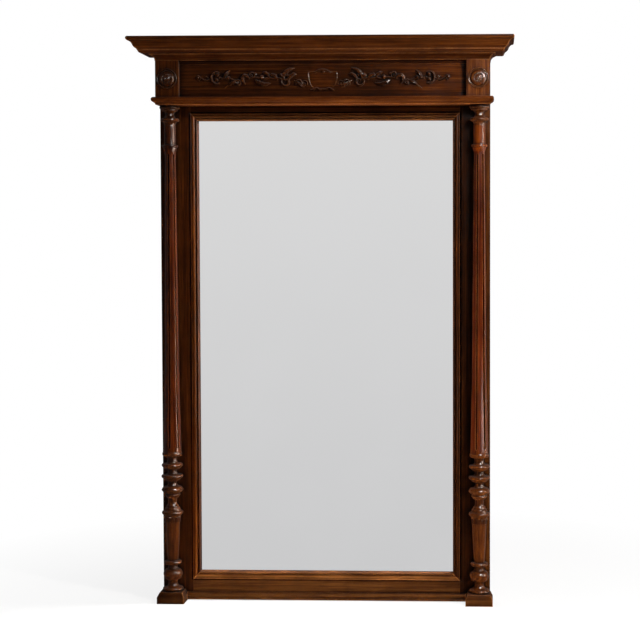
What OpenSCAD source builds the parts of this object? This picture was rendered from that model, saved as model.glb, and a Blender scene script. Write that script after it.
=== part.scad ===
// Full-length pier mirror in dark oak, Renaissance-revival style.
// The origin is on the floor, at the middle of the outline in plan.
// X runs to the right, Y to the back and Z up, so the glass faces -Y. Sizes are in millimetres.
// Most modules place their solid from the front face of the stiles, where y is 0 before set_back() moves it.

/* [Sight opening] */
// Width of the glass that shows inside the sight moulding
sight_w = 796; // [500:1:1200]
// Height of the glass that shows inside the sight moulding
sight_h = 1415; // [1100:1:1900]
// Height of the lowest edge of visible glass above the floor
sight_z = 89; // [82:0.5:140]

/* [Frame] */
// Visible width of each stile, from the sight moulding to its outer edge
stile_w = 94; // [88:0.5:130]
// Thickness of the stiles and rails
frame_t = 28; // [27:0.5:40]
// Height of the bottom rail's lower edge above the floor
rail_lift = 3; // [1:0.5:10]
// Width of top rail that shows between the sight moulding and the shelf
top_rail_show = 23; // [20:0.5:80]
// Length of each rail's tenon
tenon_l = 62; // [30:1:80]
// Thickness of the tenons
tenon_t = 10; // [6:0.5:12]
// Distance from a rail's edge to the edge of its tenon
tenon_shoulder = 12; // [8:0.5:18]
// Width of the bevel on the stiles and rails beside the sight moulding
quirk = 5; // [2:0.5:7]
// Width of the rebate that holds the backboards
rebate_w = 12; // [10:0.5:16]
// Diameter of the pegs that lock the tenons
peg_d = 8; // [5:0.5:10]

/* [Sight moulding] */
// Width of the sight moulding on its face
sight_mould_w = 22; // [20:0.5:30]
// Height of the sight moulding's crest above the stile face
sight_mould_rise = 7; // [5.5:0.25:10]
// Width of the bead next to the glass
sight_bead = 5.5; // [4:0.25:7]

/* [Glass and back] */
// Thickness of the mirror glass
glass_t = 4; // [3:0.5:6]
// Width of glass covered by the sight moulding on each side
glass_lap = 12; // [8:0.5:16]
// Thickness of the backboards
board_t = 8; // [6:0.5:10]
// Width of the joints between the backboards
board_joint = 0.6; // [0.3:0.1:2]
// Head diameter of the backboard screws
screw_head_d = 7; // [5:0.25:8]

/* [Base] */
// Side of the square plinths under the columns
plinth_w = 84.5; // [76:0.5:100]
// Height of the plinths
plinth_h = 34.5; // [24:0.5:50]
// Height of the upright part of the plinths' faces
plinth_face_h = 20.5; // [12:0.5:22]
// Width of the plinths' bevel
plinth_bevel = 7; // [4:0.25:10]
// Distance that the base ledge stands in front of the bottom rail
ledge_d = 12; // [8:0.5:25]
// Height of the base ledge
ledge_h = 22; // [18:0.5:34]

/* [Columns] */
// Distance from a stile's outer edge to the column axis
column_in = 33.5; // [31:0.5:46]
// Distance from the stile face to the column axis
column_out = 17.8; // [10.3:0.5:27.8]
// Diameter of the base disc at the foot of a column
base_disc_d = 64; // [58:0.5:66]
// Diameter of the large bulb near the foot
bulb_d = 61; // [56:0.5:66]
// Diameter of the ring under the vase
vase_ring_d = 54; // [46:0.5:62]
// Diameter of the vase at its foot
vase_foot_d = 33; // [28:0.5:38]
// Diameter of the vase at its head
vase_head_d = 45; // [40:0.5:48]
// Height of the tapering vase
vase_h = 120.5; // [80:0.5:180]
// Height of the leaf collar over the vase
collar_h = 19; // [14:0.5:30]
// Diameter of the discs between the vase and the shaft
disc_d = 65; // [58:0.5:70]
// Diameter of the thin necks between the discs
neck_d = 31; // [28:0.5:34]
// Diameter of the shaft at its foot
shaft_foot_d = 60; // [52:0.5:66]
// Diameter of the shaft a quarter of the way up, where it turns from a quick taper to a slow one
shaft_knee_d = 49; // [44:0.5:56]
// Diameter of the shaft at its head
shaft_head_d = 36; // [30:0.5:42]
// Height of the quick taper at the foot of the shaft
shaft_knee_h = 226; // [150:1:400]
// Width of the flutes in the shaft
flute_w = 4.4; // [3:0.2:6]
// Diameter of the astragal over the shaft
astragal_d = 50; // [44:0.5:58]
// Height of the plain neck over the astragal
plain_neck_h = 57.5; // [30:0.5:110]
// Diameter of the rings of the capital
capital_d = 62; // [54:0.5:66]
// Diameter of the dowels that hold the columns
dowel_d = 16; // [10:0.5:18]

/* [Shelf and frieze] */
// Thickness of the shelf over the columns
shelf_t = 23; // [18:0.5:36]
// Distance that the shelf stands out from the frieze blocks
shelf_reach = 11.5; // [8:0.25:16]
// Height of the frieze
frieze_h = 111; // [90:1:180]
// Width of the frieze blocks
block_w = 72; // [68:0.5:88]
// Distance that the frieze blocks stand in front of the stiles
block_d = 65; // [60:0.5:80]
// Distance from the face of the blocks back to the face of the frieze board
frieze_set = 20; // [12:0.5:28]
// Thickness of the frieze board
frieze_t = 20; // [14:0.5:22]
// Depth of the grooves in the blocks that hold the frieze board
housing = 8; // [4:0.5:14]
// Diameter of the turned rosettes
rosette_d = 62; // [48:0.5:66]
// Height of the carving over the frieze board
relief = 9; // [5:0.5:14]

/* [Cornice] */
// Height of the bed mould under the corona
bed_h = 20; // [12:0.5:30]
// Distance that the bed mould stands out from the blocks
bed_reach = 16; // [12:0.5:26]
// Thickness of the corona board
corona_t = 9.5; // [9:0.5:18]
// Distance that the corona board stands out from the blocks
corona_reach = 44; // [36:0.5:45]
// Height of the crown moulding
crown_h = 37.5; // [34:0.5:60]
// Distance that the crown moulding stands out from the blocks
crown_reach = 73; // [68:0.5:95]
// Height of the rounded band along the top of the crown
crown_band_h = 12; // [8:0.5:16]
// Distance from the blocks out to the foot of the crown's curve
crown_foot = 46; // [46:0.5:56]
// Thickness of the dust board on top
dust_t = 8; // [5:0.5:12]

/* [Hanging plates] */
// Width of the hanging plates
plate_w = 28; // [22:0.5:40]
// Height of the hanging plates
plate_h = 64; // [50:1:90]
// Thickness of the hanging plates
plate_t = 3; // [2:0.25:4]
// Diameter of the hole that takes the wall screw
hang_hole_d = 9; // [6:0.5:11]
// Distance from the top of the visible glass down to the wall screw holes
hang_drop = 15; // [10:1:300]

/* [Hidden] */
$fn = 96;

// Clearance of joints that slide together
fit = 0.2;
// Extra length of a cutting shape past the face that it cuts
over = 1;

// Places across the width
stile_in = sight_w / 2 + sight_mould_w;
half_w = stile_in + stile_w;
column_x = half_w - column_in;
block_in = half_w - block_w;

// Heights
sight_top = sight_z + sight_h;
rail_top_z = sight_z - sight_mould_w;
top_rail_z = sight_top + sight_mould_w;
shelf_z = top_rail_z + top_rail_show;
frieze_z = shelf_z + shelf_t;
bed_z = frieze_z + frieze_h;
corona_z = bed_z + bed_h;
crown_z = corona_z + corona_t;
top_z = crown_z + crown_h;
ledge_z = rail_lift;

// Depths, measured back from the face of the stiles
front_reach = block_d + crown_reach;
face_y = (front_reach + frame_t) / 2 - frame_t;
glass_y = 12;
rebate_y = glass_y + glass_t + 2;
tenon_y = (frame_t - tenon_t) / 2;

// Wood
oak = [0.30, 0.15, 0.07];
oak_dark = [0.22, 0.10, 0.05];
oak_light = [0.38, 0.20, 0.10];
pine = [0.62, 0.45, 0.27];
steel = [0.62, 0.62, 0.60];
silver = [0.80, 0.82, 0.82];

// Puts a shape that is drawn from the stile face into the shared frame.
module set_back() {
    translate([0, face_y, 0]) children();
}

// A box between two opposite corners.
module box(low, high) {
    translate(low) cube(high - low);
}

// Copies a shape to the left and the right.
module both_sides() {
    children();
    mirror([1, 0, 0]) children();
}

// Arcs. The arc from a to b bulges to the left of that direction by the height rise. The cap between the arc and
// its chord also reaches a little past the chord, so that it joins, or cuts, without a seam.
function turned_left(v) = [-v[1], v[0]];
function unit(v) = v / norm(v);
function arc_radius(a, b, rise) = (pow(norm(b - a) / 2, 2) + rise * rise) / (2 * rise);
function arc_centre(a, b, rise) =
    (a + b) / 2 + turned_left(unit(b - a)) * (rise - arc_radius(a, b, rise));

module arc_cap(a, b, rise) {
    side = turned_left(unit(b - a));
    intersection() {
        translate(arc_centre(a, b, rise)) circle(r = arc_radius(a, b, rise));
        polygon([a - side * rise, b - side * rise, b + side * 2 * rise, a + side * 2 * rise]);
    }
}

// Points along the arc from a to b, which stands out by rise to the right of that direction.
arc_steps = 6;
function arc_points(a, b, rise) =
    let (r = arc_radius(a, b, abs(rise)), along = unit(b - a), out = -turned_left(along) * sign(rise))
    let (half = asin(norm(b - a) / (2 * r)))
    [for (i = [0:arc_steps]) let (turn = half * (2 * i / arc_steps - 1))
        (a + b) / 2 + along * r * sin(turn) + out * (r * cos(turn) - r + abs(rise))];

// Turned work is a stack of rows. Each row holds height, foot diameter, head diameter and bulge, and its side is
// straight when the bulge is 0, bulged out when it is positive and hollow when it is negative.
function stack_h(rows, count) = count == 0 ? 0 : rows[count - 1][0] + stack_h(rows, count - 1);
function row_points(low, high, bulge) = bulge == 0 ? [low, high] : arc_points(low, high, bulge);
function stack_points(z, rows) = [
    for (i = [0:len(rows) - 1]) let (low_z = z + stack_h(rows, i))
        each row_points([rows[i][1] / 2, low_z], [rows[i][2] / 2, low_z + rows[i][0]], rows[i][3])
];
function without_doubles(p) = [for (i = [0:len(p) - 1]) if (i == 0 || norm(p[i] - p[i - 1]) > 0.001) p[i]];

// A row for a disc with a round rim, a little short of a half circle so that the rim keeps an edge above and below.
rim_share = 0.42;
function rim(h, d) = [h, d - 2 * h * rim_share, d - 2 * h * rim_share, h * rim_share];

// The column's foot, from the plinth up to the shaft.
FOOT = [
    rim(11, base_disc_d),
    [15, base_disc_d - 14, neck_d - 2, -3],
    [3, neck_d - 2, neck_d - 2, 0],
    [7, neck_d - 2, bulb_d - 20, -1.2],
    [10, bulb_d - 17, bulb_d - 7, 1.6],
    [21, bulb_d - 5, bulb_d - 17, 4],
    [7, bulb_d - 19, neck_d, -1.4],
    [9, neck_d - 1, neck_d - 1, -0.6],
    rim(12, vase_ring_d),
    [vase_h, vase_foot_d, vase_head_d, 0.8],
    [collar_h, vase_head_d + 1, vase_head_d + 4, 0],
    [5.5, disc_d - 15, disc_d - 8, 0.6],
    rim(12, disc_d + 1),
    [2.5, disc_d - 13, disc_d - 13, 0],
    [8.5, disc_d - 16, disc_d - 23, 1.2],
    [8, disc_d - 26, disc_d - 32, 1],
    [14, disc_d - 34, neck_d - 3, -1.2],
    [7, neck_d - 3, neck_d - 1, -0.4],
    [8, neck_d + 1, disc_d - 20, 1.4],
    [5, disc_d - 17, disc_d - 17, 0.6],
    [4.5, disc_d - 19, disc_d - 15, -0.5],
    [5.5, disc_d - 12, disc_d - 4, 1.2],
    rim(5, disc_d + 2),
    [9, disc_d - 1, disc_d - 21, 2.2],
    [5, disc_d - 26, neck_d, -0.8],
    [11, neck_d - 2, neck_d - 2, -0.6],
    [9.5, neck_d + 1, disc_d - 8, 1.6],
    rim(11, disc_d + 2),
    [4, disc_d - 21, neck_d + 3, -0.8],
    [11, neck_d, neck_d - 2, -0.6],
    [9, neck_d + 1, disc_d - 8, 1.6],
    rim(11, disc_d),
    [5, disc_d - 21, neck_d + 3, -0.9],
    [17.5, neck_d + 1, neck_d + 1, -1],
    [9.5, shaft_foot_d - 10, shaft_foot_d, 2.4]
];

// The column's head, from the shaft up to the shelf.
HEAD = [
    rim(9, astragal_d),
    [plain_neck_h, shaft_head_d + 0.5, shaft_head_d + 0.5, 0],
    [13.5, shaft_head_d + 0.5, capital_d - 15, -2],
    rim(11, capital_d - 4),
    [11.5, capital_d - 22, neck_d - 4, -1.6],
    [11.5, neck_d - 4, capital_d - 14, -2.4],
    [4, capital_d - 11, capital_d - 11, 0],
    rim(12, capital_d)
];

shaft_z = plinth_h + stack_h(FOOT, len(FOOT));
head_z = shelf_z - stack_h(HEAD, len(HEAD));
knee_z = shaft_z + shaft_knee_h;
flute_low_z = shaft_z + 16;
flute_high_z = head_z - 10;
flute_depth = flute_w / 2;
flute_run = 5;
flute_count = 6;
flute_turn = -7;

// The shaft's radius at a height.
function shaft_r(z) = z < knee_z
    ? (shaft_foot_d + (shaft_knee_d - shaft_foot_d) * (z - shaft_z) / shaft_knee_h) / 2
    : (shaft_knee_d + (shaft_head_d - shaft_knee_d) * (z - knee_z) / (head_z - knee_z)) / 2;

// The cutter for one flute: it follows the shaft's side at an even depth and runs out at both ends.
module flute() {
    low = shaft_r(flute_low_z);
    high = shaft_r(flute_high_z);
    clear_r = shaft_foot_d / 2 + over;
    rotate([90, 0, 0]) linear_extrude(height = flute_w, center = true) polygon([
        [clear_r, flute_low_z], [low, flute_low_z],
        [low - flute_depth, flute_low_z + flute_run], [shaft_knee_d / 2 - flute_depth, knee_z],
        [high - flute_depth, flute_high_z - flute_run], [high, flute_high_z], [clear_r, flute_high_z]
    ]);
}

module flutes() {
    for (i = [0:flute_count - 1]) rotate([0, 0, flute_turn - 90 + i * 360 / flute_count]) flute();
}

// Dowels stand half in each piece, in bores centred on the column's axis.
dowel_h = 36;

module dowel_bore(z) {
    bore_h = dowel_h + 2 * fit;
    translate([column_x, -column_out, z - bore_h / 2]) cylinder(d = dowel_d + fit, h = bore_h);
}

module column_right_body() {
    difference() {
        translate([column_x, -column_out, 0]) difference() {
            rotate_extrude() polygon(without_doubles(concat(
                [[0, plinth_h]], stack_points(plinth_h, FOOT), [[shaft_knee_d / 2, knee_z]],
                stack_points(head_z, HEAD), [[0, shelf_z]]
            )));
            flutes();
        }
        box([column_x - plinth_w, 0, 0], [column_x + plinth_w, plinth_w, shelf_z + over]);
        dowel_bore(plinth_h);
        dowel_bore(shelf_z);
    }
}

module column_right() {
    color(oak) set_back() column_right_body();
}

module column_left() {
    color(oak) set_back() mirror([1, 0, 0]) column_right_body();
}

module column_dowels() {
    color(pine) set_back() both_sides() {
        for (z = [plinth_h, shelf_z]) {
            translate([column_x, -column_out, z - dowel_h / 2]) cylinder(d = dowel_d, h = dowel_h);
        }
    }
}

// A plinth: bevelled towards the front and both sides, flat against the stile.
module plinth_right_body() {
    front = -column_out - plinth_w / 2;
    top_in = plinth_w / 2 - plinth_bevel;
    difference() {
        intersection() {
            translate([column_x, 0, 0]) rotate([90, 0, 0]) linear_extrude(height = -front) polygon([
                [-plinth_w / 2, 0], [plinth_w / 2, 0], [plinth_w / 2, plinth_face_h],
                [top_in, plinth_h], [-top_in, plinth_h], [-plinth_w / 2, plinth_face_h]
            ]);
            translate([column_x, 0, 0]) rotate([90, 0, -90]) {
                linear_extrude(height = plinth_w, center = true) polygon([
                    [0, 0], [-front, 0], [-front, plinth_face_h], [-front - plinth_bevel, plinth_h], [0, plinth_h]
                ]);
            }
        }
        dowel_bore(plinth_h);
    }
}

module plinth_right() {
    color(oak) set_back() plinth_right_body();
}

module plinth_left() {
    color(oak) set_back() mirror([1, 0, 0]) plinth_right_body();
}

// The bevel round the sight opening that leaves a dark quirk beside the moulding.
module sight_bevel() {
    intersection() {
        translate([0, 0, rail_top_z - quirk]) linear_extrude(height = top_rail_z - rail_top_z + 2 * quirk) polygon([
            [-stile_in, quirk], [stile_in, quirk], [stile_in + quirk + over, -over], [-stile_in - quirk - over, -over]
        ]);
        rotate([90, 0, 90]) linear_extrude(height = 2 * (stile_in + quirk + over), center = true) polygon([
            [quirk, rail_top_z], [-over, rail_top_z - quirk - over],
            [-over, top_rail_z + quirk + over], [quirk, top_rail_z]
        ]);
    }
}

// The rebate round the back of the opening, where the backboards lie.
module back_rebate() {
    box([-stile_in - rebate_w, rebate_y, rail_top_z - rebate_w],
        [stile_in + rebate_w, frame_t + over, top_rail_z + rebate_w]);
}

// The tenon on the right end of a rail, with a clearance all round.
module tenon(z_low, z_high, gap) {
    box([stile_in - over, tenon_y - gap, z_low + tenon_shoulder - gap],
        [stile_in + tenon_l + gap, tenon_y + tenon_t + gap, z_high - tenon_shoulder + gap]);
}

// Pegs stand a third and two thirds of the way up each tenon and are driven from the back.
peg_l = frame_t - 6;

module pegs_right(gap) {
    for (rail = [[rail_lift, rail_top_z - rebate_w], [top_rail_z + rebate_w, bed_z]]) {
        for (share = [1 / 3, 2 / 3]) {
            z = rail[0] + (rail[1] - rail[0]) * share;
            translate([stile_in + rebate_w + (tenon_l - rebate_w) / 2, frame_t - peg_l - gap, z]) {
                rotate([-90, 0, 0]) cylinder(d = peg_d + 2 * gap, h = peg_l + 2 * gap);
            }
        }
    }
}

module tenon_pegs() {
    color(pine) set_back() both_sides() pegs_right(0);
}

// The backboards and their screws.
board_half_w = stile_in + rebate_w - 1;
board_low_z = rail_top_z - rebate_w + 1;
board_high_z = top_rail_z + rebate_w - 1;
board_count = 3;
board_h = (board_high_z - board_low_z - (board_count - 1) * board_joint) / board_count;
screw_x = stile_in + rebate_w / 2;
screw_l = board_t + 7;
screw_shank_d = screw_head_d / 2;

function board_z(i) = board_low_z + i * (board_h + board_joint);

module screw(l, head_d, shank_d) {
    head_h = (head_d - shank_d) / 2;
    rotate([90, 0, 0]) {
        cylinder(d1 = head_d, d2 = shank_d, h = head_h, $fn = 32);
        cylinder(d = shank_d, h = l, $fn = 32);
    }
}

module board_screws_right(gap) {
    for (i = [0:board_count - 1]) {
        for (share = [1 / 6, 1 / 2, 5 / 6]) {
            translate([screw_x, rebate_y + board_t, board_z(i) + board_h * share]) {
                screw(screw_l + gap, screw_head_d + 2 * gap, screw_shank_d + 2 * gap);
            }
        }
    }
}

module backboard(i) {
    color(pine) set_back() difference() {
        box([-board_half_w, rebate_y, board_z(i)], [board_half_w, rebate_y + board_t, board_z(i) + board_h]);
        both_sides() board_screws_right(fit / 2);
    }
}

module backboard_lower() {
    backboard(0);
}

module backboard_middle() {
    backboard(1);
}

module backboard_upper() {
    backboard(2);
}

module backboard_screws() {
    color(steel) set_back() both_sides() board_screws_right(0);
}

// Hanging plates, let in flush at the back of the stiles.
plate_x = stile_in + rebate_w + (half_w - stile_in - rebate_w) / 2;
hang_z = sight_top - hang_drop;
plate_screw_z = plate_h / 2 - 10;
plate_screw_l = 16;
plate_screw_d = 4;
plate_head_d = 7;
hang_pocket_d = hang_hole_d + 6;
hang_pocket_y = 12;

module plate_screws_right(gap) {
    for (side = [-1, 1]) {
        translate([plate_x, frame_t, hang_z + side * plate_screw_z]) {
            screw(plate_screw_l + gap, plate_head_d + 2 * gap, plate_screw_d + 2 * gap);
        }
    }
}

// A plate's outline: a bar with round ends.
module plate_shape(gap, extra_t) {
    end_z = plate_h / 2 - plate_w / 2;
    rotate([90, 0, 0]) linear_extrude(height = plate_t + extra_t) {
        square([plate_w + 2 * gap, 2 * end_z], center = true);
        for (side = [-1, 1]) translate([0, side * end_z]) circle(d = plate_w + 2 * gap);
    }
}

module hanging_plate_right_body() {
    difference() {
        translate([plate_x, frame_t, hang_z]) plate_shape(0, 0);
        translate([plate_x, frame_t - plate_t - over, hang_z]) {
            rotate([-90, 0, 0]) cylinder(d = hang_hole_d, h = plate_t + 2 * over);
        }
        plate_screws_right(fit / 2);
    }
}

module hanging_plate_right() {
    color(steel) set_back() hanging_plate_right_body();
}

module hanging_plate_left() {
    color(steel) set_back() mirror([1, 0, 0]) hanging_plate_right_body();
}

module hanging_plate_screws() {
    color(steel) set_back() both_sides() plate_screws_right(0);
}

// Stiles run from the floor to the cornice, and are notched at the top for the returns of the bed mould.
module stile_right_body() {
    difference() {
        union() {
            box([stile_in, 0, 0], [half_w, frame_t, bed_z]);
            box([stile_in, 0, bed_z - over], [half_w - bed_back, frame_t, corona_z]);
        }
        sight_bevel();
        back_rebate();
        tenon(rail_lift, rail_top_z - rebate_w, fit);
        tenon(top_rail_z + rebate_w, bed_z, fit);
        pegs_right(fit / 2);
        board_screws_right(fit / 2);
        translate([plate_x, frame_t + over, hang_z]) plate_shape(fit, over);
        translate([plate_x, frame_t - hang_pocket_y, hang_z]) {
            rotate([-90, 0, 0]) cylinder(d = hang_pocket_d, h = hang_pocket_y);
        }
        plate_screws_right(fit / 2);
    }
}

module right_stile() {
    color(oak_dark) set_back() stile_right_body();
}

module left_stile() {
    color(oak_dark) set_back() mirror([1, 0, 0]) stile_right_body();
}

// Rails end in tenons that enter the stiles.
module top_rail() {
    color(oak_dark) set_back() difference() {
        union() {
            box([-stile_in, 0, top_rail_z], [stile_in, frame_t, corona_z]);
            both_sides() tenon(top_rail_z + rebate_w, bed_z, 0);
        }
        sight_bevel();
        back_rebate();
        both_sides() pegs_right(fit / 2);
    }
}

module bottom_rail() {
    color(oak) set_back() difference() {
        union() {
            box([-stile_in, 0, rail_lift], [stile_in, frame_t, rail_top_z]);
            both_sides() tenon(rail_lift, rail_top_z - rebate_w, 0);
        }
        sight_bevel();
        back_rebate();
        both_sides() pegs_right(fit / 2);
    }
}

// The sight moulding's section: x runs in from the outer edge to the glass, y up from the stile face.
module sight_section() {
    shoulder = sight_mould_rise - 4;
    bead_foot = shoulder - 1;
    body_foot = shoulder - 0.5;
    edge_bead = 4;
    bead_x = sight_mould_w - sight_bead;
    body_x = bead_x - 1.5;
    polygon(concat(
        [[sight_mould_w, -glass_y]],
        arc_points([sight_mould_w, bead_foot], [bead_x, bead_foot], sight_bead / 2),
        [[bead_x, bead_foot - 0.5], [body_x, bead_foot - 0.5]],
        arc_points([body_x, body_foot], [edge_bead, shoulder], sight_mould_rise - shoulder),
        arc_points([edge_bead, body_foot], [0, body_foot], edge_bead / 2),
        [[0, -glass_y]]
    ));
}

// A mitred bar of sight moulding that lies along X, with its outer edge on z = 0 and its face to -Y.
module sight_bar(length) {
    intersection() {
        rotate(a = 180, v = [1, 0, 1]) linear_extrude(height = length, center = true) sight_section();
        rotate([90, 0, 0]) linear_extrude(height = 4 * glass_y, center = true) polygon([
            [-length / 2, 0], [length / 2, 0],
            [length / 2 - sight_mould_w, sight_mould_w], [-length / 2 + sight_mould_w, sight_mould_w]
        ]);
    }
}

module sight_moulding_bottom() {
    color(oak_light) set_back() translate([0, 0, rail_top_z]) sight_bar(2 * stile_in);
}

module sight_moulding_top() {
    color(oak_light) set_back() translate([0, 0, top_rail_z]) rotate([0, 180, 0]) sight_bar(2 * stile_in);
}

module sight_moulding_right() {
    color(oak_light) set_back() translate([stile_in, 0, (rail_top_z + top_rail_z) / 2]) {
        rotate([0, -90, 0]) sight_bar(top_rail_z - rail_top_z);
    }
}

module sight_moulding_left() {
    color(oak_light) set_back() translate([-stile_in, 0, (rail_top_z + top_rail_z) / 2]) {
        rotate([0, 90, 0]) sight_bar(top_rail_z - rail_top_z);
    }
}

// The glass lies against the back of the sight moulding, held by small wooden blocks.
glass_half_w = sight_w / 2 + glass_lap;
glass_low_z = sight_z - glass_lap;
glass_high_z = sight_top + glass_lap;

module mirror_glass() {
    color(silver) set_back() {
        box([-glass_half_w, glass_y, glass_low_z], [glass_half_w, glass_y + glass_t, glass_high_z]);
    }
}

glass_block_l = 60;

module glass_blocks() {
    block_y = [glass_y, rebate_y];
    color(pine) set_back() {
        both_sides() {
            for (share = [1 / 5, 1 / 2, 4 / 5]) {
                z = glass_low_z + (glass_high_z - glass_low_z) * share;
                box([glass_half_w, block_y[0], z - glass_block_l / 2], [stile_in, block_y[1], z + glass_block_l / 2]);
            }
            box([glass_half_w / 2, block_y[0], rail_top_z],
                [glass_half_w / 2 + glass_block_l, block_y[1], glass_low_z]);
            box([glass_half_w / 2, block_y[0], glass_high_z],
                [glass_half_w / 2 + glass_block_l, block_y[1], top_rail_z]);
        }
    }
}

// The base ledge runs between the plinths, with a round nose over a shallow hollow.
module ledge_section() {
    nose = 9;
    face = ledge_d - 1;
    difference() {
        union() {
            square([face, ledge_h - nose / 2]);
            square([ledge_d - nose / 2, ledge_h]);
            translate([ledge_d - nose / 2, ledge_h - nose / 2]) circle(d = nose);
        }
        arc_cap([face, 4], [face, ledge_h - nose], 2.5);
    }
}

module base_ledge() {
    ledge_half = column_x - plinth_w / 2;
    color(oak) set_back() translate([0, 0, ledge_z]) rotate([90, 0, -90]) {
        linear_extrude(height = 2 * ledge_half, center = true) ledge_section();
    }
}

// Sections of the horizontal members. In each, x runs out from the plane of the frieze blocks and y runs up.
// The shelf has a round nose over a hollow.
module shelf_section(depth) {
    neck = [shelf_reach - 6, shelf_t - 16];
    nose_low = [shelf_reach - 5, shelf_t - 15];
    nose_high = [shelf_reach - 5, shelf_t];
    polygon(concat(
        [[-depth, 0]], arc_points([0, 0], neck, -1.6), arc_points(nose_low, nose_high, 5), [[-depth, shelf_t]]
    ));
}

// The corona board has a flat band over a small round.
module corona_section(depth) {
    band_z = corona_t - 3;
    round_low = [corona_reach - 7, 0];
    round_high = [corona_reach - 1.5, band_z];
    polygon(concat(
        [[-depth, 0]], arc_points(round_low, round_high, 1.8),
        [[corona_reach, band_z], [corona_reach, corona_t], [-depth, corona_t]]
    ));
}

// The bed mould is a hollow that carries the corona board.
bed_back = 35;

module bed_section() {
    fillet_z = bed_h - 2;
    polygon(concat(
        [[-bed_back, 0]], arc_points([1, 0], [bed_reach - 1, fillet_z], -4.4),
        [[bed_reach, fillet_z], [bed_reach, bed_h], [-bed_back, bed_h]]
    ));
}

// The crown is an S-curve under a rounded band, with a rebate at the back for the dust board.
crown_back = crown_foot - 19;
dust_lap = 10;

module crown_section() {
    foot = [crown_foot, 2];
    head = [crown_reach - 6, crown_h - crown_band_h];
    middle = (foot + head) / 2;
    lap_x = crown_back + dust_lap;
    band_x = crown_reach - 3;
    polygon(without_doubles(concat(
        [[crown_back, 0], [crown_foot, 0]], arc_points(foot, middle, 1.6), arc_points(middle, head, -1.6),
        arc_points([band_x, head[1]], [band_x, crown_h], 3),
        [[lap_x, crown_h], [lap_x, crown_h - dust_t], [crown_back, crown_h - dust_t]]
    )));
}

// A board with a moulded front edge and ends. The children are its front section and its end section.
module edged_board(reach, back_y) {
    intersection() {
        translate([0, -block_d, 0]) rotate([90, 0, -90]) {
            linear_extrude(height = 2 * (half_w + reach), center = true) children(0);
        }
        both_sides() translate([-half_w, -block_d - reach, 0]) rotate([90, 0, 180]) {
            linear_extrude(height = block_d + reach + back_y) children(1);
        }
    }
}

// A moulding along the front, mitred where it meets the returns.
module moulding_front(z, inner, outer) {
    tip = outer + over;
    intersection() {
        translate([0, -block_d, z]) rotate([90, 0, -90]) {
            linear_extrude(height = 2 * (half_w + outer), center = true) children();
        }
        linear_extrude(height = top_z + over) polygon([
            [-half_w - tip, -block_d - tip], [half_w + tip, -block_d - tip],
            [half_w + inner, -block_d - inner], [-half_w - inner, -block_d - inner]
        ]);
    }
}

// The return of that moulding along the left side, from the mitre to the back.
module moulding_left(z, inner, outer) {
    tip = outer + over;
    intersection() {
        translate([-half_w, -block_d - outer, z]) rotate([90, 0, 180]) {
            linear_extrude(height = block_d + outer + frame_t) children();
        }
        linear_extrude(height = top_z + over) polygon([
            [-half_w - tip, -block_d - tip], [-half_w - inner, -block_d - inner],
            [-half_w - inner, frame_t], [-half_w - tip, frame_t]
        ]);
    }
}

module shelf_board() {
    color(oak) set_back() difference() {
        translate([0, 0, shelf_z]) edged_board(shelf_reach, 0) {
            shelf_section(block_d);
            shelf_section(half_w + over);
        }
        both_sides() dowel_bore(shelf_z);
    }
}

module corona_board() {
    color(oak) set_back() translate([0, 0, corona_z]) edged_board(corona_reach, frame_t) {
        corona_section(block_d + frame_t);
        corona_section(half_w + over);
    }
}

module bed_mould_front() {
    color(oak_dark) set_back() moulding_front(bed_z, -bed_back, bed_reach) bed_section();
}

module bed_mould_left() {
    color(oak_dark) set_back() moulding_left(bed_z, -bed_back, bed_reach) bed_section();
}

module bed_mould_right() {
    mirror([1, 0, 0]) bed_mould_left();
}

module crown_front() {
    color(oak) set_back() moulding_front(crown_z, crown_back, crown_reach) crown_section();
}

module crown_left() {
    color(oak) set_back() moulding_left(crown_z, crown_back, crown_reach) crown_section();
}

module crown_right() {
    mirror([1, 0, 0]) crown_left();
}

module dust_board() {
    lap = crown_back + dust_lap;
    color(pine) set_back() {
        box([-half_w - lap, -block_d - lap, top_z - dust_t], [half_w + lap, frame_t, top_z]);
    }
}

back_rail_t = 18;

module cornice_back_rail() {
    color(pine) set_back() box(
        [-half_w - crown_back, frame_t - back_rail_t, crown_z],
        [half_w + crown_back, frame_t, top_z - dust_t]
    );
}

// Three-cornered glue blocks inside the cornice, between the corona board and the crown.
glue_block_l = 60;
glue_block_side = 20;

module glue_block() {
    linear_extrude(height = glue_block_l, center = true) {
        polygon([[0, 0], [-glue_block_side, 0], [0, glue_block_side]]);
    }
}

module cornice_blocks() {
    color(pine) set_back() both_sides() {
        for (share = [1 / 4, 3 / 4]) {
            translate([half_w * share, -block_d - crown_back, crown_z]) rotate([90, 0, -90]) glue_block();
        }
        translate([-half_w - crown_back, -block_d / 2, crown_z]) rotate([90, 0, 180]) glue_block();
    }
}

// The frieze board is let into grooves in the blocks at its ends.
frieze_y = -block_d + frieze_set;

module frieze_board() {
    color(oak_dark) set_back() box(
        [-block_in - housing, frieze_y, frieze_z],
        [block_in + housing, frieze_y + frieze_t, bed_z]
    );
}

// A rosette's section: x is the radius, y the height over the block's face.
rosette_pin_d = 14;
rosette_pin_l = 14;
rosette_dome_d = 23;
dot_count = 12;

module rosette_section() {
    r = rosette_d / 2;
    edge_r = 2.6;
    dome_rise = 6;
    dome_low = [rosette_dome_d / 2, 3.4];
    dome_r = arc_radius([-dome_low[0], 0], [dome_low[0], 0], dome_rise);
    square([r, 2]);
    translate([r - edge_r, 2.2]) circle(r = edge_r);
    difference() {
        square([r - edge_r, 4]);
        arc_cap([r - edge_r, 4], [rosette_dome_d / 2, 4], 1.9);
    }
    square([rosette_dome_d / 2, dome_low[1]]);
    intersection() {
        translate([0, dome_low[1] + dome_rise - dome_r]) circle(r = dome_r);
        translate([0, dome_low[1]]) square([dome_low[0], dome_rise]);
    }
}

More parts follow.
